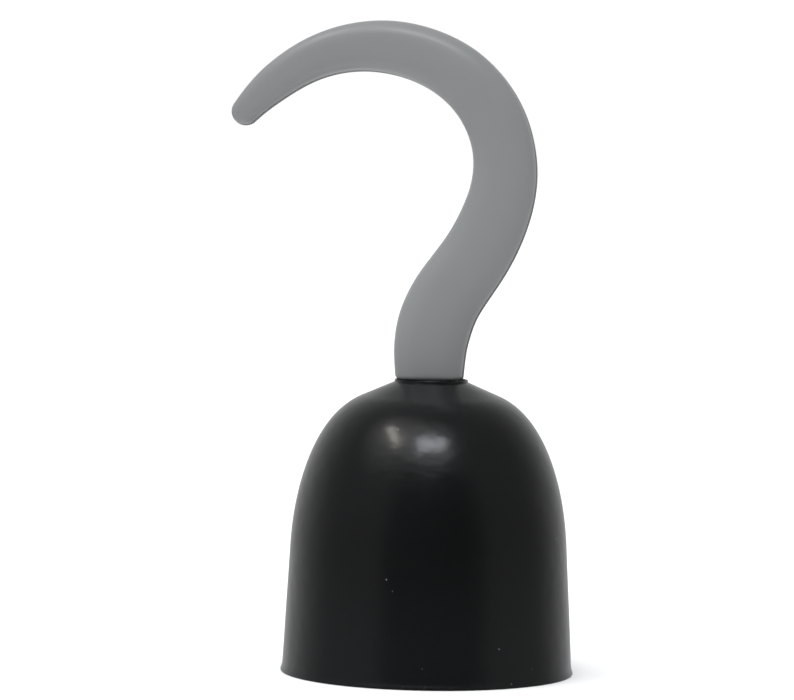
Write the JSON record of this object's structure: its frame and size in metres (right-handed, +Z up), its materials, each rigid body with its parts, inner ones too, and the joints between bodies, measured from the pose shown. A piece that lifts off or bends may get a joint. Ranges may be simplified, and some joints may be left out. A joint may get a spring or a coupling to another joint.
{
  "type": "costume hook hand",
  "caption": "Costume hook hand: a tapering curved grey hook turns on the neck of a black domed cup that a hand goes into, with a T-shaped grip bar inside.",
  "frame": {"origin": "under the centre of the whole object's box, on the plane of the cup's mouth; the cup's axis stands 11.5 mm from it towards +X", "axes": "+Z up from the cup's mouth to the top of the hook, the hook's point towards -X, and +Y square to the plane of the hook, towards its screws"},
  "size_m": [0.1401, 0.117, 0.2593],
  "materials": {
    "cup_plastic": "glossy black",
    "hook_plastic": "satin mid grey",
    "grip_plastic": "satin mid grey",
    "washer_plastic": "natural nylon",
    "screw_steel": "zinc plated"
  },
  "bodies": {
    "cup": {"cup_shell": "cup_plastic", "neck_washer": "washer_plastic"},
    "hook": {"hook_front_half": "hook_plastic", "hook_rear_half": "hook_plastic", "hook_screw_1": "screw_steel", "hook_screw_2": "screw_steel", "hook_screw_3": "screw_steel", "hook_screw_4": "screw_steel", "grip_handle": "grip_plastic", "grip_end_plug_left": "grip_plastic", "grip_end_plug_right": "grip_plastic", "grip_screw": "screw_steel", "grip_screw_washer": "screw_steel"}
  },
  "joints": [
    {"name": "hook_swivel", "type": "hinge", "parent": "cup", "child": "hook", "pos_m": [0.0115, 0, 0.1162], "axis": [0, 0, 1], "continuous": true}
  ]
}
